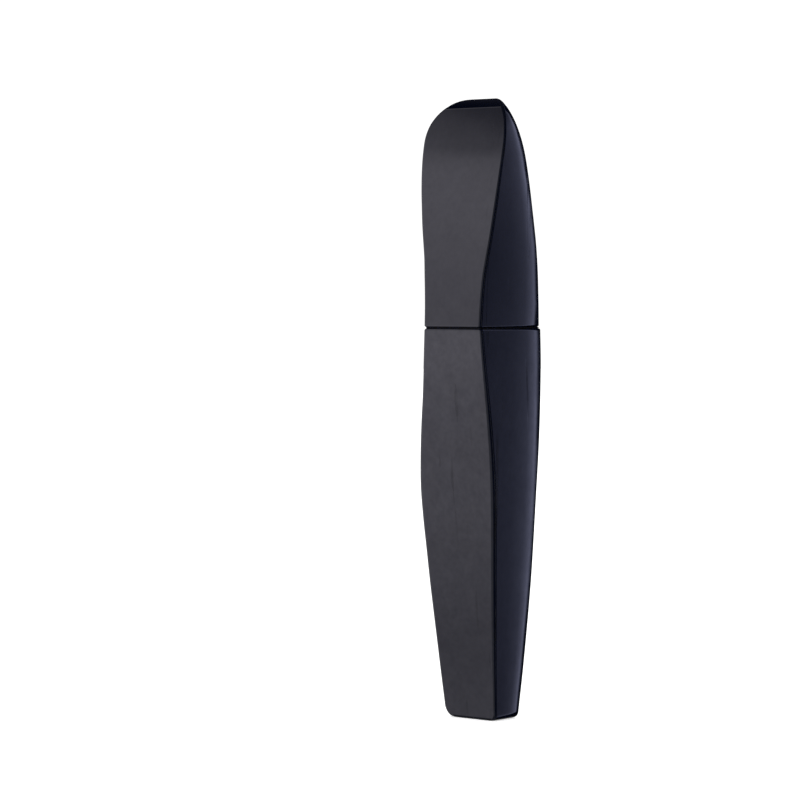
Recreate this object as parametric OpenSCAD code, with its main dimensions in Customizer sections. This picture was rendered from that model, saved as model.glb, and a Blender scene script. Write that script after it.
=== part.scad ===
// Mascara tube: a four-sided casing with a wedge-shaped screw cap and a brush wand.
// The tube stands on its base. The origin is on the axis of the neck, at the base.
// The broad front face looks along -Y, and the tube bulges more towards -X than towards +X.

/* [Bottle casing] */
// Height of the bottle casing, from the base to its rim
bottle_h = 85.2; // [83:0.2:88]
// Radius that rounds the bottle casing's foot at its right side
foot_right_r = 1; // [0.6:0.1:2]
// Radius that rounds the bottle casing's foot at its left side
foot_left_r = 2.6; // [0.6:0.1:2.6]
// Radius that rounds the bottle casing's foot at its two broad faces
foot_front_r = 0.6; // [0.4:0.1:1.2]
// Radius that rounds the bottle casing's rim
bottle_rim_r = 0.5; // [0.3:0.1:1]
// Height of the lip on the inner part of the bottle casing's rim, which shades the seam
bottle_lip_h = 0.15; // [0.05:0.05:0.15]
// Wall thickness of both casings
wall = 1.2; // [0.9:0.1:1.2]
// Thickness of the bottle casing's base
base_t = 2; // [1.5:0.1:2.5]
// Thickness of the blank base label
label_t = 0.15; // [0.1:0.05:0.3]

/* [Cap casing] */
// Height of the cap casing, from its rim to its tip
cap_h = 49.6; // [48:0.2:54]
// Gap between the two casings when the tube is closed
seam_gap = 0.2; // [0.15:0.05:0.5]
// Radius that rounds the cap casing's rim
cap_rim_r = 0.4; // [0.2:0.1:0.8]
// Height of the bevelled nose above the broad faces
nose_h = 1.95; // [1.5:0.05:2.5]
// Roundness of the shoulders, where 2 is an ellipse
shoulder_power = 2.2; // [2:0.1:2.6]

/* [Vial and neck] */
// Outer radius of the vial just below its shoulder
vial_r = 6.4; // [6:0.1:6.4]
// Wall thickness of the vial
vial_wall = 0.8; // [0.6:0.1:0.9]
// Height of the neck above the bottle casing's rim
neck_h = 11.8; // [11.3:0.1:12.3]
// Outer radius of the neck, without its thread
neck_r = 4.9; // [4.8:0.05:4.95]
// Radius of the neck's bore
neck_bore_r = 3.9; // [3.8:0.05:4]

/* [Thread] */
// Rise of the thread in one turn
thread_lead = 8; // [6:0.5:8]
// Turns of each thread start
thread_turns = 0.85; // [0.5:0.05:0.9]
// How far the thread stands out of the neck, and out of the cap's bore
thread_depth = 0.6; // [0.4:0.05:0.65]

/* [Wand] */
// Radius of the stem
stem_r = 1.7; // [1.5:0.05:1.75]
// Height of the brush's lower end above the base
brush_tip_z = 11; // [11:0.5:14]
// Length of the bristles along the wire
brush_len = 25.5; // [20:0.5:26]
// Largest radius of the bristles
brush_r = 3.1; // [2.6:0.1:3.2]
// Number of bristle rows
brush_rows = 22; // [12:1:26]

/* [Hidden] */
$fn = 96;

// Half sizes at fractions of the casing's height. The curves run smoothly through them.
bottle_front = [
    [0, 4.13], [0.14, 5.4], [0.35, 6.84], [0.59, 7.92], [0.8, 9.42], [0.92, 10.29], [1, 10.58]
];
bottle_right = [[0, 7.37], [0.18, 8.3], [0.41, 9.27], [0.65, 9.8], [0.82, 9.41], [1, 8.48]];
bottle_left = [
    [0, 7.16], [0.18, 8.45], [0.41, 10.33], [0.59, 11.56], [0.73, 10.64], [0.87, 9.06], [1, 8.14]
];
cap_front = [
    [0, 10.51], [0.13, 10.16], [0.25, 9.48], [0.5, 6.92], [0.72, 4.49], [0.84, 2.77], [0.96, 0.95]
];
cap_right = [[0, 8.14], [0.19, 8.44], [0.4, 9.12], [0.74, 9.28], [1, 8.46]];
cap_left = [
    [0, 8.21], [0.13, 8.41], [0.29, 9.42], [0.45, 11.39], [0.64, 13.25], [0.82, 14.31], [1, 14.6]
];

// The cap's shoulders start at these fractions of its height and run in to the flat top
right_shoulder = 0.76;
left_shoulder = 0.8;
top_right = 3.7;
top_left = 2.9;
nose_power = 0.9;

cap_z = bottle_h + seam_gap;
outline_steps = 32;
cavity_steps = 10;
rim_arc = [0 : 18 : 72];
rim_arc_back = [72 : -18 : 0];
slab = 60;

neck_top = bottle_h + neck_h;
collar_r = neck_r + thread_depth;
collar_top = bottle_h + 0.4;
vial_top = bottle_h - 2.9;
vial_foot_z = 5;
vial_post_r = 1.6;
plate_t = 3;
plate_rise = 0.1;
lip_inset = 0.5;
fit_gap = 0.05;
rib_t = 1;
bottle_rib_low = 60;
bottle_rib_high = 78;
cap_rib_low = 1.2;

label_half_x = 3.9;
label_half_y = 2.5;
label_corner = 0.8;

thread_segments = 24;
thread_z = bottle_h + 2;
thread_root_w = 1.4;
thread_crest_w = 0.7;
thread_runout = 4;
thread_overlap = 0.2;

wiper_flange_t = 0.6;
wiper_wall = 0.55;
wiper_cone_z = neck_top - 9;
wiper_cone_h = 4.5;
wiper_lip_t = 0.35;
bead_r = 0.18;
bead_low = neck_top - 7.4;
bead_high = neck_top - 6.4;
bead_gap = 0.1;
gasket_t = 0.8;
gasket_gap = 0.1;

inner_cap_r = 6.75;
inner_cap_bore_r = neck_r + thread_depth + 0.25;
inner_cap_z = cap_z + 0.3;
ceiling_z = neck_top + wiper_flange_t + gasket_t + 2 * gasket_gap;
ceiling_t = 2.6;
ceiling_top = ceiling_z + ceiling_t;
cup_h = 6;
cup_wall = 0.9;
weight_r = 4.25;
weight_h = 10.8;
weight_bore_r = 2.6;
weight_bore_h = 2.2;
cavity_top = cap_z + 0.78 * cap_h;

wire_r = 0.4;
stem_foot_z = brush_tip_z + 31;
stem_taper_h = 3;
stem_flange = 0.3;
stem_flange_t = 0.7;
stem_barb = 0.4;
stem_barb_h = 1.6;
wire_top_z = stem_foot_z + 8;
bristle_z = brush_tip_z + 1.5;
bristle_sleeve_r = 0.75;
full_brush = 0.85;
brush_shoulder = 0.93;
path_gap = 0.3;
fill_top = 72;

// Slope of a station list at its point i, for a curve that passes smoothly through the points
function slope(st, i) =
    let (a = max(i - 1, 0), b = min(i + 1, len(st) - 1))
    (st[b][1] - st[a][1]) / (st[b][0] - st[a][0]);

// Index of the station just below the fraction f
function span(st, f, i = 0) = i >= len(st) - 2 || f <= st[i + 1][0] ? i : span(st, f, i + 1);

// Value of the smooth curve through the stations at the fraction f
function smooth(st, f) =
    let (
        i = span(st, f),
        h = st[i + 1][0] - st[i][0],
        t = min(1, (f - st[i][0]) / h),
        rest = 1 - t
    )
    st[i][1] * (1 + 2 * t) * rest * rest
    + st[i + 1][1] * (3 - 2 * t) * t * t
    + h * slope(st, i) * t * rest * rest
    - h * slope(st, i + 1) * rest * t * t;

// How far a rim rounded with radius r draws the wall in, at the distance d from the rim's plane
function rim_inset(d, r) = d >= r ? 0 : r - sqrt(r * r - (r - d) * (r - d));

// Heights from 0 to h, with extra ones where the rims are rounded
function outline_heights(h, low_r, high_r) = concat(
    [for (t = rim_arc) low_r * (1 - cos(t))],
    [for (i = [0 : outline_steps]) low_r + (h - low_r - high_r) * i / outline_steps],
    high_r > 0 ? [for (t = rim_arc_back) h - high_r * (1 - cos(t))] : []
);

// Factor from 1 to 0 that rounds a shoulder from the fraction start up to the top
function shoulder(f, start) =
    f <= start ? 1 : pow(1 - pow(min(1, (f - start) / (1 - start)), shoulder_power), 1 / shoulder_power);

// Half sizes of the two casings at the height z above each one's own rim or base
function bottle_half(st, z, foot_r) =
    smooth(st, z / bottle_h) - rim_inset(z, foot_r) - rim_inset(bottle_h - z, bottle_rim_r);
function cap_side(st, z, start, flat) =
    flat + (smooth(st, z / cap_h) - flat) * shoulder(z / cap_h, start) - rim_inset(z, cap_rim_r);
function cap_depth(z) =
    let (crease = cap_h - nose_h, up = (z - crease) / nose_h)
    (up <= 0 ? smooth(cap_front, z / cap_h)
             : smooth(cap_front, crease / cap_h) * pow(max(0, 1 - up), nose_power))
    - rim_inset(z, cap_rim_r);

// Heights on the cap's top shoulder, closer together towards the tip
function shoulder_heights(start) =
    [for (t = [6 : 6 : 90]) cap_h * (start + (1 - start) * pow(sin(t), 2 / shoulder_power))];

// Prism along Y whose front view is given by right and left half sizes at the same heights
module front_prism(zs, right, left) {
    n = len(zs) - 1;
    rotate([90, 0, 0])
        linear_extrude(height = slab, center = true)
            polygon(concat(
                [for (i = [0 : n]) [right[i], zs[i]]],
                [for (i = [n : -1 : 0]) [-left[i], zs[i]]]
            ));
}

// Prism along X whose side view is symmetric, given by half sizes at the heights
module side_prism(zs, half) {
    n = len(zs) - 1;
    rotate([90, 0, 90])
        linear_extrude(height = slab, center = true)
            polygon(concat(
                [for (i = [0 : n]) [half[i], zs[i]]],
                [for (i = [n : -1 : 0]) if (half[i] > 0) [-half[i], zs[i]]]
            ));
}

// Solid outer form of the bottle casing
module bottle_form() {
    side_zs = outline_heights(bottle_h, max(foot_right_r, foot_left_r), bottle_rim_r);
    front_zs = outline_heights(bottle_h, foot_front_r, bottle_rim_r);
    intersection() {
        front_prism(
            side_zs,
            [for (z = side_zs) bottle_half(bottle_right, z, foot_right_r)],
            [for (z = side_zs) bottle_half(bottle_left, z, foot_left_r)]
        );
        side_prism(front_zs, [for (z = front_zs) bottle_half(bottle_front, z, foot_front_r)]);
    }
}

// The hollow inside the bottle casing, drawn in by a gap, between two heights
module bottle_hollow(low, high, inset) {
    zs = [for (i = [0 : cavity_steps]) low + (high - low) * i / cavity_steps];
    intersection() {
        front_prism(
            zs,
            [for (z = zs) smooth(bottle_right, min(1, z / bottle_h)) - inset],
            [for (z = zs) smooth(bottle_left, min(1, z / bottle_h)) - inset]
        );
        side_prism(zs, [for (z = zs) smooth(bottle_front, min(1, z / bottle_h)) - inset]);
    }
}

// Solid outer form of the cap casing, with its rim at z = 0
module cap_form() {
    low = outline_heights(cap_h, cap_rim_r, 0);
    crease = cap_h - nose_h;
    right_zs = concat(
        [for (z = low) if (z < cap_h * right_shoulder) z],
        [cap_h * right_shoulder],
        shoulder_heights(right_shoulder)
    );
    left_zs = concat(
        [for (z = low) if (z < cap_h * left_shoulder) z],
        [cap_h * left_shoulder],
        shoulder_heights(left_shoulder)
    );
    nose_zs = [for (t = [0 : 15 : 90]) crease + nose_h * sin(t)];
    depth_zs = concat([for (z = low) if (z < crease - 0.2) z], nose_zs);
    intersection() {
        rotate([90, 0, 0])
            linear_extrude(height = slab, center = true)
                polygon(concat(
                    [for (z = right_zs) [cap_side(cap_right, z, right_shoulder, top_right), z]],
                    [for (i = [len(left_zs) - 1 : -1 : 0])
                        [-cap_side(cap_left, left_zs[i], left_shoulder, top_left), left_zs[i]]]
                ));
        side_prism(depth_zs, [for (z = depth_zs) cap_depth(z)]);
    }
}

// The hollow inside the cap casing, open at the rim
module cap_hollow() {
    top = cavity_top - cap_z;
    zs = concat([-1], [for (i = [0 : cavity_steps]) top * i / cavity_steps]);
    intersection() {
        front_prism(
            zs,
            [for (z = zs) smooth(cap_right, max(0, z) / cap_h) - wall],
            [for (z = zs) smooth(cap_left, max(0, z) / cap_h) - wall]
        );
        side_prism(zs, [for (z = zs) smooth(cap_front, max(0, z) / cap_h) - wall]);
    }
}

// Two ribs, in front of and behind a round part of radius r, between two heights
module ribs(r, low, high) {
    difference() {
        translate([-rib_t / 2, -slab / 2, low])
            cube([rib_t, slab, high - low]);
        translate([0, 0, low - 1])
            cylinder(r = r, h = high - low + 2);
    }
}

// The base label's form, a plate with round corners, grown by a gap
module label_plate(grow, h) {
    half_x = label_half_x + grow;
    half_y = label_half_y + grow;
    linear_extrude(height = h)
        polygon([
            for (q = [0 : 3])
                for (t = [0 : 15 : 90])
                    let (
                        sx = q == 0 || q == 3 ? 1 : -1,
                        sy = q < 2 ? 1 : -1
                    )
                    [
                        sx * (half_x - label_corner) + label_corner * cos(90 * q + t),
                        sy * (half_y - label_corner) + label_corner * sin(90 * q + t)
                    ]
        ]);
}

// One start of a thread: a ridge that climbs from the root radius to the crest radius
module thread_start(root_r, crest_r, angle) {
    n = round(thread_turns * thread_segments);
    step = 360 / thread_segments;
    points = [
        for (i = [0 : n])
            let (
                grow = min(1, (i + 1) / thread_runout, (n - i + 1) / thread_runout),
                r = root_r + (crest_r - root_r) * (0.5 + 0.5 * grow),
                a = angle + step * i,
                z = thread_z + thread_lead * i / thread_segments
            )
            for (p = [
                [root_r, -thread_root_w / 2], [r, -thread_crest_w / 2],
                [r, thread_crest_w / 2], [root_r, thread_root_w / 2]
            ])
                [p[0] * cos(a), p[0] * sin(a), z + p[1]]
    ];
    walls = [
        for (i = [0 : n - 1])
            for (j = [0 : 3])
                let (k = (j + 1) % 4)
                [4 * i + j, 4 * i + k, 4 * i + 4 + k, 4 * i + 4 + j]
    ];
    ends = [[3, 2, 1, 0], [4 * n, 4 * n + 1, 4 * n + 2, 4 * n + 3]];
    facing = crest_r > root_r ? concat(walls, ends)
                              : [for (f = concat(walls, ends)) [f[3], f[2], f[1], f[0]]];
    polyhedron(points = points, faces = facing, convexity = 4);
}

// Radius of the bristles at the fraction f of their length, from the tip up
function bristle_r(f) =
    (0.55 + 0.45 * sin(90 * min(1, f / full_brush))) * brush_r * (f > brush_shoulder ? 0.8 : 1);

module bottle_shell() {
    color("#15161a")
        difference() {
            union() {
                bottle_form();
                bottle_hollow(bottle_h - 1, bottle_h + bottle_lip_h, lip_inset);
            }
            difference() {
                bottle_hollow(base_t, bottle_h + 1, wall);
                ribs(vial_r + fit_gap, bottle_rib_low, bottle_rib_high);
                cylinder(r = vial_post_r, h = vial_foot_z);
            }
            translate([0, 0, -1])
                label_plate(fit_gap, label_t + 1);
        }
}

module base_label() {
    color("#3a3a40")
        label_plate(0, label_t);
}

module inner_vial() {
    body = [[2, vial_foot_z], [3, 6.2], [3.7, 12], [4.85, 30], [5.9, 50], [6.3, 60], [vial_r, vial_top - 1]];
    inside = [for (p = body) [p[0] - vial_wall, p[1] + (p[1] == vial_foot_z ? vial_wall : 0)]];
    color("#d9d6cf")
        union() {
            rotate_extrude()
                polygon(concat(
                    [[0, vial_foot_z]],
                    body,
                    [
                        [collar_r, vial_top],
                        [collar_r, collar_top],
                        [neck_r, collar_top],
                        [neck_r, neck_top],
                        [neck_bore_r, neck_top],
                        [neck_bore_r, bead_high],
                        [neck_bore_r + bead_r + fit_gap, bead_high - bead_r],
                        [neck_bore_r + bead_r + fit_gap, bead_low + bead_r],
                        [neck_bore_r, bead_low],
                        [neck_bore_r, vial_top]
                    ],
                    [for (i = [len(inside) - 1 : -1 : 0]) inside[i]],
                    [[0, vial_foot_z + vial_wall]]
                ));
            for (angle = [0, 180])
                thread_start(neck_r - thread_overlap, neck_r + thread_depth, angle);
        }
}

module shoulder_plate() {
    top = bottle_h + plate_rise;
    color("#1b1c20")
        difference() {
            bottle_hollow(top - plate_t, top, wall + fit_gap);
            translate([0, 0, top - plate_t - 1])
                cylinder(r = collar_r + fit_gap, h = plate_t + 2);
        }
}

module wiper() {
    out_r = neck_bore_r - 0.02;
    in_r = out_r - wiper_wall;
    lip_r = stem_r + fit_gap;
    lip_z = wiper_cone_z - wiper_cone_h;
    color("#b9c0c6")
        rotate_extrude()
            polygon([
                [lip_r, lip_z],
                [lip_r + wiper_lip_t, lip_z],
                [lip_r + wiper_lip_t + 0.1, lip_z + 1],
                [out_r, wiper_cone_z],
                [out_r, bead_low + bead_gap],
                [out_r + bead_r, bead_low + bead_gap + bead_r],
                [out_r + bead_r, bead_high - bead_gap - bead_r],
                [out_r, bead_high - bead_gap],
                [out_r, neck_top],
                [neck_r - 0.1, neck_top],
                [neck_r - 0.1, neck_top + wiper_flange_t],
                [in_r, neck_top + wiper_flange_t],
                [in_r, wiper_cone_z + 0.4],
                [lip_r, lip_z + 1]
            ]);
}

module mascara_fill() {
    path = [
        for (f = [0 : 0.125 : 1])
            [bristle_r(min(full_brush, f)) + path_gap, bristle_z - 0.5 + brush_len * f]
    ];
    color("#08080a")
        rotate_extrude()
            polygon(concat(
                [
                    [0, vial_foot_z + vial_wall + fit_gap],
                    [1.15, vial_foot_z + vial_wall + fit_gap],
                    [2.15, 6.5], [2.85, 12], [4, 30], [5.05, 50], [5.45, 60], [5.5, fill_top],
                    [brush_r + path_gap, fill_top]
                ],
                [for (i = [len(path) - 1 : -1 : 0]) path[i]],
                [[wire_r + path_gap, brush_tip_z - path_gap], [0, brush_tip_z - path_gap]]
            ));
}

module gasket() {
    color("#e8e8ea")
        translate([0, 0, neck_top + wiper_flange_t + gasket_gap])
            difference() {
                cylinder(r = neck_r + 0.4, h = gasket_t);
                translate([0, 0, -1])
                    cylinder(r = stem_r + 0.7, h = gasket_t + 2);
            }
}

module cap_shell() {
    color("#15161a")
        translate([0, 0, cap_z])
            difference() {
                cap_form();
                difference() {
                    cap_hollow();
                    ribs(inner_cap_r + fit_gap, cap_rib_low, ceiling_z - cap_z);
                }
            }
}

module inner_cap() {
    color("#26272c")
        union() {
            difference() {
                union() {
                    translate([0, 0, inner_cap_z])
                        cylinder(r = inner_cap_r, h = ceiling_top - inner_cap_z);
                    translate([0, 0, ceiling_top - 1])
                        cylinder(r = weight_r + cup_wall, h = cup_h + 1);
                }
                translate([0, 0, inner_cap_z - 1])
                    cylinder(r = inner_cap_bore_r, h = ceiling_z - inner_cap_z + 1);
                translate([0, 0, ceiling_z - 1])
                    cylinder(r = stem_r + 0.02, h = ceiling_t + 2);
                translate([0, 0, ceiling_top])
                    cylinder(r = weight_r + fit_gap, h = cup_h + 1);
            }
            for (angle = [-90, 90])
                thread_start(inner_cap_bore_r + thread_overlap, neck_r + 0.2, angle);
        }
}

module cap_weight() {
    color("#9a9ca0")
        translate([0, 0, ceiling_top])
            rotate_extrude()
                polygon([
                    [weight_bore_r, 0],
                    [weight_r - 0.3, 0],
                    [weight_r, 0.3],
                    [weight_r, weight_h - 0.5],
                    [weight_r - 0.5, weight_h],
                    [0, weight_h],
                    [0, weight_bore_h],
                    [weight_bore_r, weight_bore_h]
                ]);
}

module wand_rod() {
    color("#1b1c20")
        rotate_extrude()
            polygon([
                [wire_r + 0.02, stem_foot_z],
                [stem_r - 0.5, stem_foot_z],
                [stem_r, stem_foot_z + stem_taper_h],
                [stem_r, ceiling_z - stem_flange_t],
                [stem_r + stem_flange, ceiling_z - stem_flange_t],
                [stem_r + stem_flange, ceiling_z],
                [stem_r, ceiling_z],
                [stem_r, ceiling_top],
                [stem_r + stem_barb, ceiling_top],
                [stem_r - stem_barb, ceiling_top + stem_barb_h],
                [0, ceiling_top + stem_barb_h],
                [0, wire_top_z + 0.1],
                [wire_r + 0.02, wire_top_z + 0.1]
            ]);
}

module brush_core() {
    color("#b4b6ba")
        translate([0, 0, brush_tip_z])
            cylinder(r = wire_r, h = wire_top_z - brush_tip_z);
}

module brush_bristles() {
    row = brush_len / brush_rows;
    color("#101012")
        translate([0, 0, bristle_z])
            rotate_extrude()
                polygon(concat(
                    [[wire_r + 0.02, 0]],
                    [
                        for (i = [0 : brush_rows - 1])
                            let (r = bristle_r((i + 0.5) / brush_rows))
                            for (p = [
                                [bristle_sleeve_r, 0], [r, 0.35 * row],
                                [r, 0.6 * row], [bristle_sleeve_r, 0.95 * row]
                            ])
                                [p[0], p[1] + row * i]
                    ],
                    [[wire_r + 0.02, row * (brush_rows - 0.05)]]
                ));
}

bottle_shell();
base_label();
inner_vial();
shoulder_plate();
wiper();
mascara_fill();
gasket();
cap_shell();
inner_cap();
cap_weight();
wand_rod();
brush_core();
brush_bristles();
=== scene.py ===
"""Looks of the mascara tube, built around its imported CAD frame. The world is in metres, sizes here in mm."""

import math
import random

import bmesh
import bpy
import numpy as np
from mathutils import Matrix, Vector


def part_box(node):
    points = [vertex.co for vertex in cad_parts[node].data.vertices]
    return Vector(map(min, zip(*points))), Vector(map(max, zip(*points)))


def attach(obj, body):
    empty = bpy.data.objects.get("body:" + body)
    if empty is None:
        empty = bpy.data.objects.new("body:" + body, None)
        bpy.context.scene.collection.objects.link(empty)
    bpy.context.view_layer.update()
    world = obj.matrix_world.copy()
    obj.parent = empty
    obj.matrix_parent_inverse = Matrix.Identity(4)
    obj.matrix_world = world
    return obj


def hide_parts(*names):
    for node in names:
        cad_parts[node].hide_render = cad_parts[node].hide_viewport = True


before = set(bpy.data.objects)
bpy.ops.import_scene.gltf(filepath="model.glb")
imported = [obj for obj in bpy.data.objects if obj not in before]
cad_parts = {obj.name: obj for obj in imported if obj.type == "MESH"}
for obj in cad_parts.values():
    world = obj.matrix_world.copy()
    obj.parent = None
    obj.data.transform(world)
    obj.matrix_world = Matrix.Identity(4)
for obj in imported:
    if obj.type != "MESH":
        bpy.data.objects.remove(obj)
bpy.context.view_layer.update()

MM = 0.001

# Casings
WALL = 1.2
BASE_T = 2.0
BOTTLE_EDGE = (0.6, 1.0)   # rounding of the bottle's long edges at its ends and half way up
CAP_EDGE = 0.65            # rounding of the cap's long edges, which shrinks towards the tip
FOOT_LEFT = 2.6            # the foot is rounder at the left side than at the right and the broad faces
FOOT_RIGHT = 1.4
FOOT_FRONT = 0.6
BOTTLE_RIM = 0.5
CAP_RIM = 0.4
LIP_H = 0.15               # height of the CAD lip on the bottle's rim
SEAM_GAP = 0.2             # the lip is drawn this high, up to the cap's rim, so that no light shows through; with its dull near-black face it is painted shade filling the seam
LIP_INSET = 0.32
INNER_EDGE = 0.4           # rounding of the edges inside the bottle casing
LABEL_HALF_X = 3.9
LABEL_HALF_Y = 2.5
LABEL_CORNER = 0.8
CROWN = 0.029              # bulge of the side faces, as a share of the depth
SIDE_ALLOWANCE = 0.3       # room that the CAD sides leave for that bulge
NOSE_H = 1.95
NOSE_POWER = 0.9
SHOULDER_POWER = 2.2
RIGHT_SHOULDER = 0.76      # fractions of the cap casing's height where its shoulders start
LEFT_SHOULDER = 0.8
TOP_RIGHT = 3.7
TOP_LEFT = 2.9
SUPPORT = 0.08             # distance of the extra loops that keep flat faces flat beside a rounding
FIT_GAP = 0.05

# Neck, thread, wand
NECK_R = 4.9
THREAD_DEPTH = 0.6
BORE_R = 3.9
NECK_TOP = 97.0
THREAD_Z = 87.2
THREAD_LEAD = 8.0
THREAD_TURNS = 0.85
STEM_R = 1.7
CEILING_Z = 98.6
CEILING_TOP = 101.2
INNER_CAP_R = 6.75
INNER_BORE_R = 5.75
WEIGHT_R = 4.25
STEM_FOOT_Z = 42.0
BRUSH_R = 3.1
BRUSH_PITCH = 2.3
WIRE_R = 0.2

# Camera, fitted to the photo by a scratch script, and the turn from the broad face to its line of sight
VIEW_TURN = math.radians(40)
CAMERA_LENS = 144.42
CAMERA_PITCH = math.radians(2.015)
CAMERA_SIDE = -17.88
CAMERA_DISTANCE = 700.0
CAMERA_Z = 94.1


# ---------------------------------------------------------------- outlines read from the frame

def section(node, z):
    """Right, left and front half sizes in mm of a CAD node's section at the height z."""
    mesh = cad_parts[node].data
    points = np.empty(len(mesh.vertices) * 3)
    mesh.vertices.foreach_get("co", points)
    points = points.reshape(-1, 3) / MM
    ends = np.empty(len(mesh.edges) * 2, int)
    mesh.edges.foreach_get("vertices", ends)
    a = points[ends[0::2]]
    b = points[ends[1::2]]
    crosses = (a[:, 2] - z) * (b[:, 2] - z) <= 0
    crosses &= a[:, 2] != b[:, 2]
    a = a[crosses]
    b = b[crosses]
    share = (z - a[:, 2]) / (b[:, 2] - a[:, 2])
    cut = a + (b - a) * share[:, None]
    return np.array([cut[:, 0].max(), -cut[:, 0].min(), cut[:, 1].max()])


def smooth(zs, values, z):
    """Smooth curve through the values at the heights zs. Beyond them it runs straight on."""
    def slope(k):
        a = max(k - 1, 0)
        b = min(k + 1, len(zs) - 1)
        return (values[b] - values[a]) / (zs[b] - zs[a])

    i = int(np.clip(np.searchsorted(zs, z) - 1, 0, len(zs) - 2))
    h = zs[i + 1] - zs[i]
    t = (z - zs[i]) / h
    if t < 0:
        return values[i] + slope(i) * (z - zs[i])
    if t > 1:
        return values[i + 1] + slope(i + 1) * (z - zs[i + 1])
    rest = 1 - t
    return (
        values[i] * (1 + 2 * t) * rest * rest
        + values[i + 1] * (3 - 2 * t) * t * t
        + h * slope(i) * t * rest * rest
        - h * slope(i + 1) * rest * t * t
    )


def rim_inset(distance, radius):
    """How far a rim of that rounding draws the wall in, at that distance from its plane."""
    if distance >= radius:
        return 0.0
    return radius - math.sqrt(max(0.0, radius ** 2 - (radius - distance) ** 2))


def rim_steps(radius, steps=8):
    """Distances from a rim's plane that follow its rounding evenly, and one just past it."""
    angles = np.linspace(0, math.pi / 2, steps + 1)
    return [radius * (1 - math.cos(a)) for a in angles] + [radius + SUPPORT]


def shoulder(share, start):
    """Factor from 1 to 0 that rounds the cap's shoulder from the fraction start up to the top."""
    if share <= start:
        return 1.0
    up = min(1.0, (share - start) / (1 - start))
    return (1 - up ** SHOULDER_POWER) ** (1 / SHOULDER_POWER)


# ---------------------------------------------------------------- skins

def finish_mesh(name, bm, sharp=40.0):
    """The object of a bmesh in mm: welded, facing outwards, smooth apart from its sharp edges."""
    bmesh.ops.remove_doubles(bm, verts=bm.verts, dist=0.0005)
    bmesh.ops.dissolve_degenerate(bm, edges=bm.edges, dist=0.0005)
    bmesh.ops.recalc_face_normals(bm, faces=bm.faces)
    bmesh.ops.scale(bm, vec=(MM, MM, MM), verts=bm.verts)
    mesh = bpy.data.meshes.new(name)
    bm.to_mesh(mesh)
    bm.free()
    mesh.shade_smooth()
    mesh.set_sharp_from_angle(angle=math.radians(sharp))
    piece = bpy.data.objects.new(name, mesh)
    bpy.context.scene.collection.objects.link(piece)
    return piece


def add_skin(bm, rings, closed=False, caps=(False, False)):
    """Faces between rings of the same number of points. closed joins the last ring to the first."""
    loops = [[bm.verts.new(p) for p in r] for r in rings]
    pairs = list(zip(loops, loops[1:]))
    if closed:
        pairs.append((loops[-1], loops[0]))
    for low, high in pairs:
        for j in range(len(low)):
            k = (j + 1) % len(low)
            bm.faces.new((low[j], low[k], high[k], high[j]))
    if caps[0]:
        bm.faces.new(loops[0])
    if caps[1]:
        bm.faces.new(loops[-1])


def side_curve(half, depth, edge, crown):
    """One side of a casing's section: round its front edge, along the bulging side, to the back."""
    edge = min(edge, 0.8 * depth)
    inner = depth - edge
    tilt = math.atan(2 * crown * inner / depth)
    side_y = inner + edge * math.sin(tilt)
    apex = half + crown * depth
    centre = apex - crown * side_y ** 2 / depth - edge * math.cos(tilt)
    arc = [
        (centre + edge * math.sin(a), -inner - edge * math.cos(a))
        for a in np.linspace(0, math.pi / 2 - tilt, 9)
    ]
    support = min(SUPPORT, 0.2 * side_y)
    ys = np.concatenate([[-side_y + support], np.linspace(-side_y, side_y, 15)[1:-1], [side_y - support]])
    side = [(apex - crown * y * y / depth, y) for y in sorted(ys)]
    return arc + side + [(x, -y) for x, y in reversed(arc)]


def across(a, b):
    """Points between a and b, with one close to each end."""
    support = min(0.2, SUPPORT / max(abs(b[0] - a[0]), 1e-6))
    shares = [support] + list(np.linspace(0, 1, 15)[1:-1]) + [1 - support]
    return [(a[0] + (b[0] - a[0]) * t, a[1] + (b[1] - a[1]) * t) for t in sorted(shares)]


def casing_ring(right, left, depth, z, edge, crown=CROWN):
    """One section of a casing at the height z, from its front right edge round to the same edge."""
    right_side = side_curve(right, depth, edge, crown)
    left_side = [(-x, y) for x, y in reversed(side_curve(left, depth, edge, crown))]
    flat = right_side + across(right_side[-1], left_side[0])
    flat += left_side + across(left_side[-1], right_side[0])
    return [(x, y, z) for x, y in flat]


def circle_like(ring, radius, z):
    """A circle at the height z with a point in the direction of each point of the ring."""
    angles = [math.atan2(p[1], p[0]) for p in ring]
    return [(radius * math.cos(a), radius * math.sin(a), z) for a in angles]


def soften(profile, size, closed=True, steps=4):
    """The profile with its corners rounded by about that size."""
    out = []
    n = len(profile)
    for i, p in enumerate(profile):
        before = profile[i - 1]
        after = profile[(i + 1) % n]
        at_end = not closed and i in (0, n - 1)
        on_axis = p[0] < 1e-6
        if at_end or on_axis:
            out.append(p)
            continue
        p = np.array(p)
        to_before = np.array(before) - p
        to_after = np.array(after) - p
        reach_before = min(size, 0.4 * np.linalg.norm(to_before))
        reach_after = min(size, 0.4 * np.linalg.norm(to_after))
        a = p + to_before / np.linalg.norm(to_before) * reach_before
        b = p + to_after / np.linalg.norm(to_after) * reach_after
        for t in np.linspace(0, 1, steps):
            out.append(tuple((1 - t) ** 2 * a + 2 * t * (1 - t) * p + t * t * b))
    return out


def add_revolved(bm, profile, size=0.12, steps=96):
    """Turns a closed profile of (radius, height) about the axis, with its corners rounded."""
    turns = np.linspace(0, 2 * math.pi, steps, endpoint=False)
    rings = [[(r * math.cos(a), r * math.sin(a), z) for a in turns] for r, z in soften(profile, size)]
    add_skin(bm, rings, closed=True)


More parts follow.
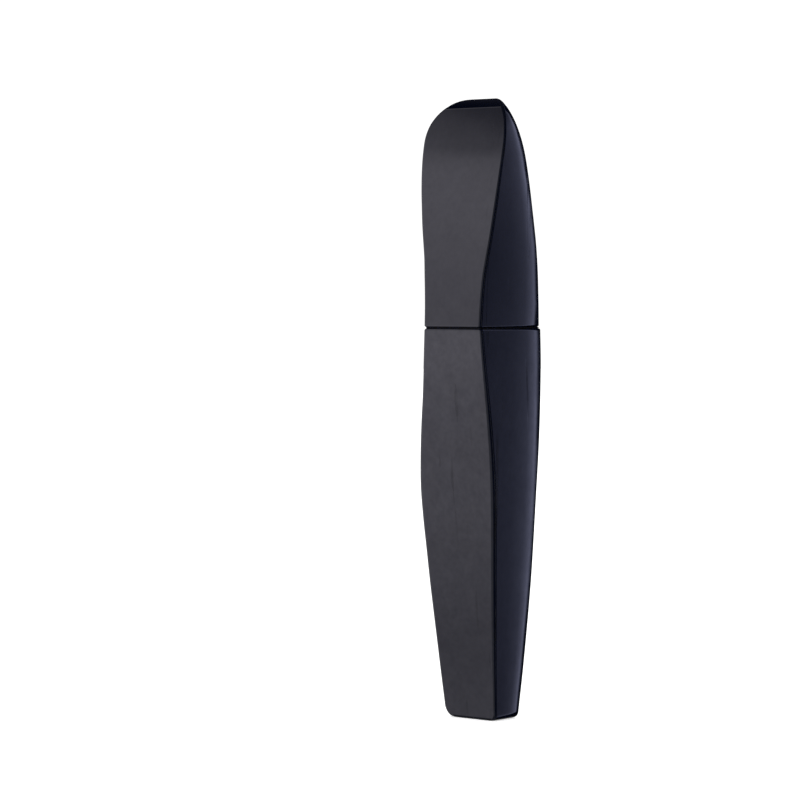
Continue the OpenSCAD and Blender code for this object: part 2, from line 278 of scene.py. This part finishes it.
def add_thread(bm, root, crest, start, steps_per_turn=48):
    """One start of a thread that climbs from the root radius to the crest radius, with run-outs."""
    n = round(THREAD_TURNS * steps_per_turn)
    fade = n / 5
    rings = []
    for i in range(n + 1):
        grow = min(1.0, (i + 0.6) / fade, (n - i + 0.6) / fade)
        grow = math.sin(math.pi / 2 * grow)
        a = start + 2 * math.pi * i / steps_per_turn
        z = THREAD_Z + THREAD_LEAD * i / steps_per_turn
        top = root + (crest - root) * grow
        shape = [(root, -0.68), (0.35 * root + 0.65 * top, -0.46), (top, -0.26), (top, 0.26),
                 (0.35 * root + 0.65 * top, 0.46), (root, 0.68)]
        rings.append([(r * math.cos(a), r * math.sin(a), z + h * (0.6 + 0.4 * grow)) for r, h in shape])
    add_skin(bm, rings, caps=(True, True))


def add_tube(bm, path, radius, sides=8):
    """A round wire along a path, with rounded ends."""
    path = [np.array(p, float) for p in path]
    rings = []
    n = len(path)
    for i, p in enumerate(path):
        along = path[min(i + 1, n - 1)] - path[max(i - 1, 0)]
        along /= np.linalg.norm(along)
        u = np.cross(along, (0.0, 0.0, 1.0)) if abs(along[2]) < 0.9 else np.cross(along, (1.0, 0.0, 0.0))
        u /= np.linalg.norm(u)
        v = np.cross(along, u)
        turns = np.linspace(0, 2 * math.pi, sides, endpoint=False)
        rings.append([p + radius * (u * math.cos(a) + v * math.sin(a)) for a in turns])
    add_skin(bm, rings, caps=(True, True))


# ---------------------------------------------------------------- pieces

def bottle_curves():
    """Half sizes of the bottle casing by height, with the sides at its rounded long edges."""
    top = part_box("bottle_shell")[1].z / MM - LIP_H
    zs = np.linspace(FOOT_LEFT, top - BOTTLE_RIM, 13)
    values = np.array([section("bottle_shell", z) for z in zs])
    values[:, :2] -= SIDE_ALLOWANCE
    return top, lambda z: smooth(zs, values, min(z, top))


def bottle_edge(z, top):
    ends, middle = BOTTLE_EDGE
    return ends + (middle - ends) * math.sin(math.pi * z / top)


def cap_edge(depth):
    return min(CAP_EDGE, max(0.25 + 0.06 * depth, 0.75 - 0.2 * depth))


def cap_curves():
    """Half sizes of the cap casing by height, shoulders, nose and all."""
    low, high = (corner.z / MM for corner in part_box("cap_shell"))
    height = high - low
    crease = high - NOSE_H
    zs = np.linspace(low + CAP_RIM, crease - 0.05, 14)
    values = np.array([section("cap_shell", z) for z in zs])
    for side, start, flat in ((0, RIGHT_SHOULDER, TOP_RIGHT), (1, LEFT_SHOULDER, TOP_LEFT)):
        for k, z in enumerate(zs):
            factor = shoulder((z - low) / height, start)
            values[k, side] = flat + (values[k, side] - flat) / factor - SIDE_ALLOWANCE
    crease_depth = values[-1, 2]

    def at(z):
        right, left, depth = smooth(zs, values, z)
        share = (z - low) / height
        right = TOP_RIGHT + (right - TOP_RIGHT) * shoulder(share, RIGHT_SHOULDER)
        left = TOP_LEFT + (left - TOP_LEFT) * shoulder(share, LEFT_SHOULDER)
        if z > crease:
            depth = crease_depth * max(0.0, (high - z) / NOSE_H) ** NOSE_POWER
        return np.array([right, left, depth])

    return low, high, at


def label_ring(grow, z):
    """The outline of the base label, with as many points as a casing's section."""
    half_x = LABEL_HALF_X + grow
    return casing_ring(half_x, half_x, LABEL_HALF_Y + grow, z, LABEL_CORNER, crown=0.0)


def bottle_casing():
    top, at = bottle_curves()

    def outer(z, inset=0.0):
        return casing_ring(*(at(z) - inset), z, bottle_edge(z, top) + 0.7 * inset)

    def foot_ring(z):
        insets = [rim_inset(z, radius) for radius in (FOOT_RIGHT, FOOT_LEFT, FOOT_FRONT)]
        return casing_ring(*(at(z) - insets), z, bottle_edge(z, top) + 0.7 * insets[2])

    inside = [casing_ring(*(at(z) - WALL), z, INNER_EDGE) for z in np.linspace(BASE_T, top - 0.1, 30)]
    open_rim = [d for d in rim_steps(BOTTLE_RIM) if rim_inset(d, BOTTLE_RIM) < LIP_INSET]
    # The lip rises to the cap's rim as a dark fill: painted shade in the seam between bottle and cap.
    lip_top = top + SEAM_GAP
    for z, inset in ((lip_top - 0.04, WALL), (lip_top, WALL - 0.04), (lip_top, LIP_INSET + 0.02),
                     (lip_top - 0.02, LIP_INSET), (top - open_rim[0] + 0.01, LIP_INSET)):
        inside.append(casing_ring(*(at(top) - inset), z, INNER_EDGE))
    rim = [outer(top - d, rim_inset(d, BOTTLE_RIM)) for d in open_rim]
    wall = [outer(z) for z in np.linspace(top - BOTTLE_RIM, FOOT_LEFT, 112)[1:-1]]
    foot = [foot_ring(z) for z in reversed(rim_steps(FOOT_LEFT, 20))]
    recess = [label_ring(FIT_GAP + 0.1, 0.0), label_ring(FIT_GAP, 0.1), label_ring(FIT_GAP, 0.2)]
    bm = bmesh.new()
    add_skin(bm, inside + rim + wall + foot + recess, caps=(True, True))
    return finish_mesh("bottle_casing", bm)


def paint_seam_shade(casing):
    """Gives the lip in the seam a dull near-black material: painted shade for the dark line between bottle and
    cap.
    """
    casing.data.materials.append(satin_black("seam_painted_shade", (0.002, 0.002, 0.003), 0.04))
    rim_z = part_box("bottle_shell")[1].z - LIP_H * MM
    for face in casing.data.polygons:
        if face.center.z > rim_z:
            face.material_index = 1


def cap_casing():
    low, high, at = cap_curves()
    crease = high - NOSE_H

    def outer(z, inset=0.0):
        sizes = at(z) - inset
        return casing_ring(*sizes, z, cap_edge(sizes[2]))

    cavity_top = low + 0.78 * (high - low)
    inside = [casing_ring(*(at(z) - WALL), z, 0.3) for z in np.linspace(cavity_top, low + 0.1, 24)]
    inside.append(casing_ring(*(at(low) - WALL + 0.1), low, 0.3))
    rim = [outer(low + d, rim_inset(d, CAP_RIM)) for d in rim_steps(CAP_RIM)]
    start = low + RIGHT_SHOULDER * (high - low)
    wall_zs = list(np.linspace(low + CAP_RIM + 0.3, start, 56))
    round_zs = [start + (high - start) * math.sin(t) ** (2 / SHOULDER_POWER)
                for t in np.linspace(0, math.pi / 2, 64)[1:-1]]
    crease_zs = [crease - 0.12, crease - 0.03, crease + 0.03, crease + 0.12]
    nose_zs = [crease + NOSE_H * math.sin(t) for t in np.linspace(0, math.pi / 2, 16)[1:-1]]
    zs = sorted(wall_zs + crease_zs + nose_zs + [z for z in round_zs if abs(z - crease) > 0.16])
    zs = [z for k, z in enumerate(zs) if (k == 0 or z - zs[k - 1] > 0.004) and high - z > 0.004]
    wall = [outer(z) for z in zs]
    tip = casing_ring(TOP_RIGHT, TOP_LEFT, 0.02, high, CAP_EDGE)
    bm = bmesh.new()
    add_skin(bm, inside + rim + wall + [tip], caps=(True, True))
    return finish_mesh("cap_casing", bm)


def shoulder_plate():
    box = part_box("shoulder_plate")
    low = box[0].z / MM
    high = box[1].z / MM
    _, at = bottle_curves()
    hole = NECK_R + THREAD_DEPTH + FIT_GAP
    edge = lambda z, inset: casing_ring(*(at(z) - WALL - FIT_GAP - inset), z, INNER_EDGE)
    outline = [edge(low, 0), edge(high - 0.25, 0), edge(high - 0.08, 0.07), edge(high, 0.25)]
    pattern = outline[-1]
    opening = [circle_like(pattern, hole + 0.3, high), circle_like(pattern, hole + 0.09, high - 0.09),
               circle_like(pattern, hole, high - 0.3), circle_like(pattern, hole, low)]
    bm = bmesh.new()
    add_skin(bm, outline + opening, closed=True)
    return finish_mesh("shoulder_plate_look", bm)


def base_label():
    bm = bmesh.new()
    rings = [label_ring(-0.03, 0.02), label_ring(0.0, 0.04), label_ring(0.0, 0.15)]
    add_skin(bm, rings, caps=(True, True))
    return finish_mesh("base_label_look", bm)


def vial():
    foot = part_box("inner_vial")[0].z / MM
    body = [(2.0, foot), (3.0, 6.2), (3.7, 12), (4.85, 30), (5.9, 50), (6.3, 60), (6.4, 81.3)]
    inside = [(r - 0.8, z + (0.8 if z == foot else 0)) for r, z in reversed(body)]
    profile = [(0, foot)] + body + [
        (5.5, 82.3), (5.5, 85.6), (NECK_R, 85.6), (NECK_R, NECK_TOP), (BORE_R, NECK_TOP), (BORE_R, 82.3)
    ] + inside + [(0, foot + 0.8)]
    bm = bmesh.new()
    add_revolved(bm, profile, 0.18)
    for start in (0, math.pi):
        add_thread(bm, NECK_R - 0.15, NECK_R + THREAD_DEPTH, start)
    return finish_mesh("vial_and_neck", bm)


def wiper():
    lip = STEM_R + FIT_GAP
    out = BORE_R - 0.02
    profile = [
        (lip, 83.5), (lip + 0.35, 83.5), (lip + 0.45, 84.5), (out, 88), (out, NECK_TOP),
        (NECK_R - 0.1, NECK_TOP), (NECK_R - 0.1, NECK_TOP + 0.6), (out - 0.55, NECK_TOP + 0.6),
        (out - 0.55, 88.4), (lip, 84.5)
    ]
    bm = bmesh.new()
    add_revolved(bm, profile, 0.2)
    return finish_mesh("wiper_look", bm)


def gasket():
    low, high = (corner.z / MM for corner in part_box("gasket"))
    bm = bmesh.new()
    add_revolved(bm, [(2.4, low), (5.3, low), (5.3, high), (2.4, high)], 0.15)
    return finish_mesh("gasket_look", bm)


def inner_cap():
    low, high = (corner.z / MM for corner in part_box("inner_cap"))
    profile = [
        (INNER_BORE_R, low), (INNER_CAP_R, low), (INNER_CAP_R, CEILING_TOP), (WEIGHT_R + 0.9, CEILING_TOP),
        (WEIGHT_R + 0.9, high), (WEIGHT_R + FIT_GAP, high), (WEIGHT_R + FIT_GAP, CEILING_TOP),
        (STEM_R + 0.02, CEILING_TOP), (STEM_R + 0.02, CEILING_Z), (INNER_BORE_R, CEILING_Z)
    ]
    bm = bmesh.new()
    add_revolved(bm, profile, 0.2)
    for start in (-math.pi / 2, math.pi / 2):
        add_thread(bm, INNER_BORE_R + 0.15, NECK_R + 0.2, start)
    return finish_mesh("inner_cap_look", bm)


def wand_rod():
    hole = 2 * WIRE_R + 0.02
    profile = [
        (hole, STEM_FOOT_Z), (STEM_R - 0.5, STEM_FOOT_Z), (STEM_R, STEM_FOOT_Z + 3),
        (STEM_R, CEILING_Z - 0.7), (STEM_R + 0.3, CEILING_Z - 0.7), (STEM_R + 0.3, CEILING_Z),
        (STEM_R, CEILING_Z), (STEM_R, CEILING_TOP), (STEM_R + 0.4, CEILING_TOP),
        (STEM_R - 0.4, CEILING_TOP + 1.6), (0, CEILING_TOP + 1.6), (0, 50.1), (hole, 50.1)
    ]
    bm = bmesh.new()
    add_revolved(bm, profile, 0.3, 64)
    return finish_mesh("wand_rod_look", bm)


def brush_core():
    """Two wires twisted about each other."""
    low, high = (corner.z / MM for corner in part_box("brush_core"))
    bm = bmesh.new()
    zs = np.linspace(low + 0.05, high - 0.05, 300)
    for start in (0, math.pi):
        turn = lambda z: start + 2 * math.pi * (z - low) / BRUSH_PITCH
        path = [(WIRE_R * math.cos(turn(z)), WIRE_R * math.sin(turn(z)), z) for z in zs]
        add_tube(bm, path, 0.96 * WIRE_R)
    return finish_mesh("brush_wires", bm, 60)


def bristle_reach(share):
    """Radius of the bristles at a fraction of their length, from the tip up."""
    reach = (0.55 + 0.45 * math.sin(math.pi / 2 * min(1.0, share / 0.85))) * BRUSH_R
    return reach * 0.8 if share > 0.93 else reach


def brush_bristles(per_turn=64):
    """Tapered fibres held between the twisted wires, in a double helix."""
    draw = random.Random(7)
    low, high = (corner.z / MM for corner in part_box("brush_bristles"))
    low += 0.12
    high -= 0.12
    bm = bmesh.new()
    count = round((high - low) / BRUSH_PITCH * per_turn)
    for i in range(count):
        share = i / (count - 1)
        z = low + (high - low) * share
        for side in (0, math.pi):
            angle = side + 2 * math.pi * (z - low) / BRUSH_PITCH + draw.gauss(0, 0.07)
            lean = draw.gauss(0, 0.1)
            reach = bristle_reach(share) * draw.uniform(0.93, 0.99)
            out = np.array((math.cos(angle), math.sin(angle), 0))
            flat = np.array((-math.sin(angle), math.cos(angle), 0))
            up = np.array((0, 0, 1.0))
            foot = out * 0.2 + up * z
            rise = draw.uniform(-0.12, 0.12)
            tip = out * reach + flat * lean * 0.4 + up * min(max(z + rise, low), high)
            keep = min(1, reach / np.hypot(*tip[:2]))
            tip *= np.array((keep, keep, 1))
            rings = [
                [p + thick * (flat * math.cos(a) + up * math.sin(a)) for a in (0.5, 2.6, 4.7)]
                for p, thick in ((foot, 0.055), (0.4 * foot + 0.6 * tip, 0.045), (tip, 0.022))
            ]
            add_skin(bm, rings, caps=(True, True))
    return finish_mesh("brush_fibres", bm, 80)


# ---------------------------------------------------------------- materials

class Paint:
    """A procedural material under construction."""

    def __init__(self, name):
        self.material = bpy.data.materials.new(name)
        self.material.use_nodes = True
        self.nodes = self.material.node_tree.nodes
        self.links = self.material.node_tree.links
        self.shader = self.nodes["Principled BSDF"]
        self.place = self.nodes.new("ShaderNodeTexCoord").outputs["Object"]

    def set(self, **values):
        for name, value in values.items():
            self.shader.inputs[name.replace("_", " ")].default_value = value
        return self

    def stretched(self, scale, turn=(0, 0, 0)):
        """Object coordinates, turned and scaled."""
        mapping = self.nodes.new("ShaderNodeMapping")
        mapping.inputs["Scale"].default_value = scale
        mapping.inputs["Rotation"].default_value = turn
        self.links.new(self.place, mapping.inputs["Vector"])
        return mapping.outputs["Vector"]

    def noise(self, scale, detail=3.0, place=None, distortion=0.0):
        """Noise of that many features in a metre."""
        node = self.nodes.new("ShaderNodeTexNoise")
        node.inputs["Scale"].default_value = scale
        node.inputs["Detail"].default_value = detail
        node.inputs["Distortion"].default_value = distortion
        self.links.new(place or self.place, node.inputs["Vector"])
        return node.outputs["Fac"]

    def remap(self, value, low, high, out_low=0.0, out_high=1.0):
        """The value carried from low..high to out_low..out_high, and held there."""
        node = self.nodes.new("ShaderNodeMapRange")
        for key, number in (("From Min", low), ("From Max", high), ("To Min", out_low), ("To Max", out_high)):
            node.inputs[key].default_value = number
        self.links.new(value, node.inputs["Value"])
        return node.outputs["Result"]

    def join(self, a, b, operation="ADD"):
        node = self.nodes.new("ShaderNodeMath")
        node.operation = operation
        for socket, value in zip(node.inputs, (a, b)):
            if isinstance(value, (int, float)):
                socket.default_value = value
            else:
                self.links.new(value, socket)
        return node.outputs["Value"]

    def tint(self, value, low, high):
        """Base colour that goes from low to high with the value."""
        ramp = self.nodes.new("ShaderNodeValToRGB")
        ramp.color_ramp.elements[0].color = (*low, 1)
        ramp.color_ramp.elements[1].color = (*high, 1)
        self.links.new(value, ramp.inputs["Fac"])
        self.links.new(ramp.outputs["Color"], self.shader.inputs["Base Color"])
        return self

    def rough(self, value):
        self.links.new(value, self.shader.inputs["Roughness"])
        return self

    def shine(self, value):
        self.links.new(value, self.shader.inputs["Specular IOR Level"])
        return self

    def bump(self, value, distance, strength=1.0):
        node = self.nodes.new("ShaderNodeBump")
        node.inputs["Strength"].default_value = strength
        node.inputs["Distance"].default_value = distance
        self.links.new(value, node.inputs["Height"])
        self.links.new(node.outputs["Normal"], self.shader.inputs["Normal"])
        return self


def scratches(paint, turn, scale=900.0):
    """Thin, sparse, straight marks along one direction, from 0 to 1."""
    lines = paint.noise(scale, 0.0, paint.stretched((1, 1, 0.02), turn))
    gate = paint.noise(120.0, 1.0, paint.stretched((1, 1, 0.3), turn))
    thin = paint.remap(lines, 0.735, 0.76)
    return paint.join(thin, paint.remap(gate, 0.52, 0.62), "MULTIPLY")


def polished_black(name, colour, wear):
    """High-gloss black plastic with finger smudges and hair scratches."""
    paint = Paint(name)
    smudge = paint.noise(70.0, 4.0, distortion=0.6)
    film = paint.remap(smudge, 0.42, 0.72)
    marks = paint.join(scratches(paint, (0.0, 0.35, 0.2)), scratches(paint, (0.3, -0.8, 0.1)), "MAXIMUM")
    paint.tint(paint.join(film, wear, "MULTIPLY"), colour, [1.3 * c + 0.001 for c in colour])
    paint.rough(paint.join(paint.remap(film, 0, 1, 0.05, 0.05 + 0.05 * wear),
                           paint.join(marks, 0.2 * wear, "MULTIPLY")))
    mottle = paint.join(paint.noise(900.0, 4.0), paint.noise(280.0, 3.0, distortion=0.6))
    shine = paint.remap(mottle, 0.7, 1.3, 0.5 - 0.06 * wear, 0.5 + 0.06 * wear)
    paint.shine(paint.join(shine, paint.join(marks, 0.08 * wear, "MULTIPLY"), "SUBTRACT"))
    ripple = paint.noise(45.0, 1.0)
    relief = paint.join(paint.join(ripple, 0.15, "MULTIPLY"), paint.join(marks, -0.3, "MULTIPLY"))
    paint.bump(relief, 0.00002, 0.5)
    paint.set(IOR=1.5)
    return paint.material


def satin_black(name, colour, specular=0.5):
    """Moulded satin plastic with a fine grain."""
    paint = Paint(name)
    grain = paint.noise(5000.0, 2.0)
    blotch = paint.noise(300.0, 3.0)
    paint.tint(blotch, [0.8 * c for c in colour], [1.5 * c for c in colour])
    paint.rough(paint.remap(blotch, 0.3, 0.7, 0.32, 0.46))
    paint.bump(grain, 0.00002, 0.6)
    paint.set(Specular_IOR_Level=specular)
    return paint.material


def milky_plastic():
    paint = Paint("milky_plastic")
    blotch = paint.noise(160.0, 3.0)
    flow = paint.noise(900.0, 2.0, paint.stretched((1, 1, 0.15)))
    paint.tint(blotch, (0.6, 0.575, 0.53), (0.76, 0.74, 0.7))
    paint.rough(paint.remap(flow, 0.3, 0.7, 0.28, 0.42))
    paint.bump(flow, 0.00003, 0.4)
    paint.set(Subsurface_Weight=0.25, Subsurface_Radius=(0.002, 0.002, 0.0016), Subsurface_Scale=1.0)
    return paint.material


def soft_rubber(name, low, high, rough):
    paint = Paint(name)
    blotch = paint.noise(400.0, 4.0)
    paint.tint(blotch, low, high)
    paint.rough(paint.remap(blotch, 0.3, 0.7, rough, rough + 0.15))
    paint.bump(paint.noise(3500.0, 2.0), 0.00002, 0.5)
    paint.set(Subsurface_Weight=0.1, Subsurface_Radius=(0.001, 0.001, 0.001), Subsurface_Scale=1.0)
    return paint.material


def wet_paste():
    paint = Paint("wet_paste")
    lumps = paint.noise(900.0, 5.0, distortion=0.8)
    paint.tint(lumps, (0.004, 0.004, 0.005), (0.009, 0.009, 0.01))
    paint.rough(paint.remap(lumps, 0.35, 0.7, 0.16, 0.4))
    paint.bump(lumps, 0.0002, 0.7)
    return paint.material


def turned_steel(name, along, scale=4000.0):
    """Steel with fine tool marks. along stretches the marks."""
    paint = Paint(name)
    marks = paint.noise(scale, 2.0, paint.stretched(along))
    stain = paint.noise(350.0, 3.0)
    paint.tint(stain, (0.4, 0.4, 0.41), (0.62, 0.62, 0.62))
    paint.rough(paint.remap(marks, 0.3, 0.7, 0.22, 0.38))
    paint.bump(marks, 0.00001, 0.6)
    paint.set(Metallic=1.0)
    return paint.material


def coated_paper():
    paint = Paint("coated_paper")
    fibre = paint.noise(2500.0, 4.0, paint.stretched((1, 0.35, 1)))
    paint.tint(fibre, (0.042, 0.042, 0.046), (0.06, 0.06, 0.066))
    paint.rough(paint.remap(fibre, 0.3, 0.7, 0.45, 0.6))
    paint.bump(fibre, 0.00002, 0.5)
    return paint.material


def nylon_fibre():
    paint = Paint("nylon_fibre")
    clump = paint.noise(500.0, 3.0)
    paint.tint(clump, (0.007, 0.007, 0.008), (0.02, 0.02, 0.021))
    paint.rough(paint.remap(clump, 0.35, 0.65, 0.25, 0.55))
    paint.bump(paint.noise(9000.0, 1.0), 0.00001, 0.4)
    return paint.material


# ---------------------------------------------------------------- putting the object together

def dress(piece, node, body, material):
    """Gives a piece its material. A new piece is tied to its body, and the CAD node it stands for is hidden.
    """
    piece.data.materials.clear()
    piece.data.materials.append(material)
    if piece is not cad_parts[node]:
        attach(piece, body)
        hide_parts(node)


black = (0.0005, 0.001, 0.004)
lower_casing = bottle_casing()
dress(lower_casing, "bottle_shell", "bottle", polished_black("bottle_black", black, 1.0))
# Painted shade: the lip in the seam gets a dull near-black material.
paint_seam_shade(lower_casing)
dress(cap_casing(), "cap_shell", "cap", polished_black("cap_black", black, 0.6))
dress(shoulder_plate(), "shoulder_plate", "bottle",
      satin_black("plate_black", (0.012, 0.012, 0.014)))
dress(inner_cap(), "inner_cap", "cap", satin_black("inner_cap_black", (0.014, 0.014, 0.016)))
dress(base_label(), "base_label", "bottle", coated_paper())
dress(vial(), "inner_vial", "bottle", milky_plastic())
dress(wiper(), "wiper", "bottle",
      soft_rubber("wiper_rubber", (0.36, 0.38, 0.4), (0.5, 0.52, 0.54), 0.35))
dress(gasket(), "gasket", "seal",
      soft_rubber("gasket_foam", (0.7, 0.7, 0.68), (0.84, 0.84, 0.82), 0.6))
dress(wand_rod(), "wand_rod", "cap", polished_black("rod_black", (0.006, 0.006, 0.007), 0.8))
dress(brush_core(), "brush_core", "cap", turned_steel("wire_steel", (1, 1, 0.1)))
dress(brush_bristles(), "brush_bristles", "cap", nylon_fibre())
dress(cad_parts["cap_weight"], "cap_weight", "cap",
      turned_steel("weight_steel", (0.1, 0.1, 1)))
dress(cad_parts["mascara_fill"], "mascara_fill", "bottle", wet_paste())


# ---------------------------------------------------------------- studio

def floor():
    """Plain pale floor, big enough to fill the view."""
    bm = bmesh.new()
    turns = np.linspace(0, 2 * math.pi, 96, endpoint=False)
    add_skin(bm, [[(r * math.cos(a), r * math.sin(a), -0.02) for a in turns] for r in (20.0, 200.0, 3000.0)],
             caps=(True, False))
    piece = finish_mesh("studio_floor", bm)
    paint = Paint("floor_white")
    paint.tint(paint.noise(6.0, 2.0), (0.93, 0.93, 0.93), (0.95, 0.95, 0.95))
    paint.set(Roughness=0.9, Specular_IOR_Level=0.1, Emission_Color=(1, 1, 1, 1), Emission_Strength=0.5)
    piece.data.materials.append(paint.material)
    piece.visible_glossy = False


def profile(tree, value, stops):
    """A number that goes straight from stop to stop, each of them (value, number)."""
    spread = tree.nodes.new("ShaderNodeMapRange")
    ramp = tree.nodes.new("ShaderNodeValToRGB")
    result = tree.nodes.new("ShaderNodeMapRange")
    first = stops[0][0]
    last = stops[-1][0]
    low = min(number for _, number in stops)
    high = max(number for _, number in stops)
    spread.inputs["From Min"].default_value = first * MM
    spread.inputs["From Max"].default_value = last * MM
    result.inputs["To Min"].default_value = low
    result.inputs["To Max"].default_value = high
    while len(ramp.color_ramp.elements) < len(stops):
        ramp.color_ramp.elements.new(0.5)
    for element, (at, number) in zip(ramp.color_ramp.elements, stops):
        element.position = (at - first) / (last - first)
        grey = (number - low) / (high - low)
        element.color = (grey, grey, grey, 1)
    tree.links.new(value, spread.inputs["Value"])
    tree.links.new(spread.outputs["Result"], ramp.inputs["Fac"])
    tree.links.new(ramp.outputs["Color"], result.inputs["Value"])
    return result.outputs["Result"]


def card(name, centre, facing, size, tint, across=None, up=None, lean=None):
    """A panel that only shows in reflections. across and up are stops of brightness in mm from its centre.

    lean shifts the stops across by mm, with stops of its own over the height.
    """
    mesh = bpy.data.meshes.new(name)
    w, h = (length / 2 * MM for length in size)
    mesh.from_pydata([(-w, -h, 0), (w, -h, 0), (w, h, 0), (-w, h, 0)], [], [(0, 1, 2, 3)])
    panel = bpy.data.objects.new(name, mesh)
    panel.location = [c * MM for c in centre]
    panel.rotation_euler = facing
    bpy.context.scene.collection.objects.link(panel)
    for kind in ("camera", "diffuse", "transmission", "volume_scatter", "shadow"):
        setattr(panel, "visible_" + kind, False)
    paint = Paint(name)
    tree = paint.material.node_tree
    tree.nodes.remove(paint.shader)
    split = tree.nodes.new("ShaderNodeSeparateXYZ")
    glow = tree.nodes.new("ShaderNodeEmission")
    glow.inputs["Color"].default_value = (*tint, 1)
    tree.links.new(paint.place, split.inputs["Vector"])
    level = 1.0
    if across:
        place = split.outputs["X"]
        if lean:
            shift = paint.join(profile(tree, split.outputs["Y"], lean), MM, "MULTIPLY")
            place = paint.join(place, shift, "SUBTRACT")
        level = profile(tree, place, across)
    if up:
        level = paint.join(profile(tree, split.outputs["Y"], up), level, "MULTIPLY")
    tree.links.new(level, glow.inputs["Strength"])
    tree.links.new(glow.outputs["Emission"], tree.nodes["Material Output"].inputs["Surface"])
    mesh.materials.append(paint.material)


def studio():
    scene = bpy.context.scene
    scene.view_settings.view_transform = "Standard"
    world = bpy.data.worlds.new("studio_world")
    world.use_nodes = True
    world.node_tree.nodes["Background"].inputs["Color"].default_value = (1, 1, 1, 1)
    world.node_tree.nodes["Background"].inputs["Strength"].default_value = 1.12
    scene.world = world
    floor()
    sin = math.sin(VIEW_TURN)
    cos = math.cos(VIEW_TURN)
    # The broad face mirrors a lit card to its front left, with a brightness set by height.
    # The stops of this card and the next come from tones that a scratch script measured in the photo.
    # They were then rounded and tuned.
    front = [(-80, 0.1), (-52, 0.83), (-17, 0.78), (-3, 0.92), (14, 1.03), (24, 1.17), (42, 1.28),
             (56, 1.5), (68, 1.58), (96, 1.23), (130, 1.28), (152, 1.34), (166, 1.47), (176, 1.41),
             (189, 1.2), (200, 0.84), (209, 0.62), (213, 0.4), (218, 0.3), (250, 0.0), (285, 0.1)]
    card("front_card", (-150 * sin, -150 * cos, 0), (math.radians(90), 0, -VIEW_TURN), (160, 800),
         (1.0, 0.965, 1.09), up=front)
    # The side mirrors a dark flag behind it, with a narrow lit strip at its far end that wavers
    strip = [(-24, 0.0), (-21, 0.2), (-7, 0.27), (-3, 0.34), (1, 0.44), (3.3, 0.72), (4.6, 0.96),
             (5.6, 1.4), (6.2, 1.2), (6.6, 0.0)]
    lean = [(60, 0), (75, 1.2), (88, 2.7), (101, 1.2), (114, -0.6), (124, -2.6), (134, -3.3),
            (146, -1.8), (157, 1.7), (167, 4.7), (175, 8)]
    side = [(0, 0.85), (20, 0.95), (55, 1.0), (74, 0.93), (90, 0.77), (104, 0.87), (120, 1.1),
            (140, 1.3), (157, 1.4), (167, 0.8), (176, 0.5)]
    card("side_flag", (80 * sin, 80 * cos, 0), (math.radians(90), 0, math.pi - VIEW_TURN), (160, 800),
         (1.0, 1.05, 1.55), across=strip, up=side, lean=lean)
    # The rounded edges mirror the dim room behind the camera
    card("room_shade", (250 * sin, -250 * cos, 0), (math.radians(90), 0, VIEW_TURN), (700, 800),
         (1.0, 1.0, 1.1), across=[(-350, 0.5), (-60, 0.45), (60, 0.02), (350, 0.0)],
         up=[(150, 1.0), (250, 0.5), (350, 0.1)])
    card("ground_shade", (0, 0, -150), (0, 0, 0), (600, 600), (1, 1, 1), across=[(-300, 0.18), (300, 0.15)])
    card("ceiling_shade", (0, 0, 380), (0, 0, 0), (900, 900), (1, 1, 1.1), across=[(-450, 0.06), (450, 0.05)])


def camera():
    along = np.array((math.cos(VIEW_TURN), math.sin(VIEW_TURN), 0.0))
    back = np.array((math.sin(VIEW_TURN), -math.cos(VIEW_TURN), 0.0))
    data = bpy.data.cameras.new("photo_camera")
    data.lens = CAMERA_LENS
    data.sensor_width = 36.0
    data.clip_start = 0.01
    data.clip_end = 20.0
    eye = bpy.data.objects.new("photo_camera", data)
    eye.location = (CAMERA_SIDE * along + CAMERA_DISTANCE * back + np.array((0, 0, CAMERA_Z))) * MM
    eye.rotation_euler = (math.radians(90) - CAMERA_PITCH, 0, VIEW_TURN)
    bpy.context.scene.collection.objects.link(eye)
    bpy.context.scene.camera = eye


studio()
camera()
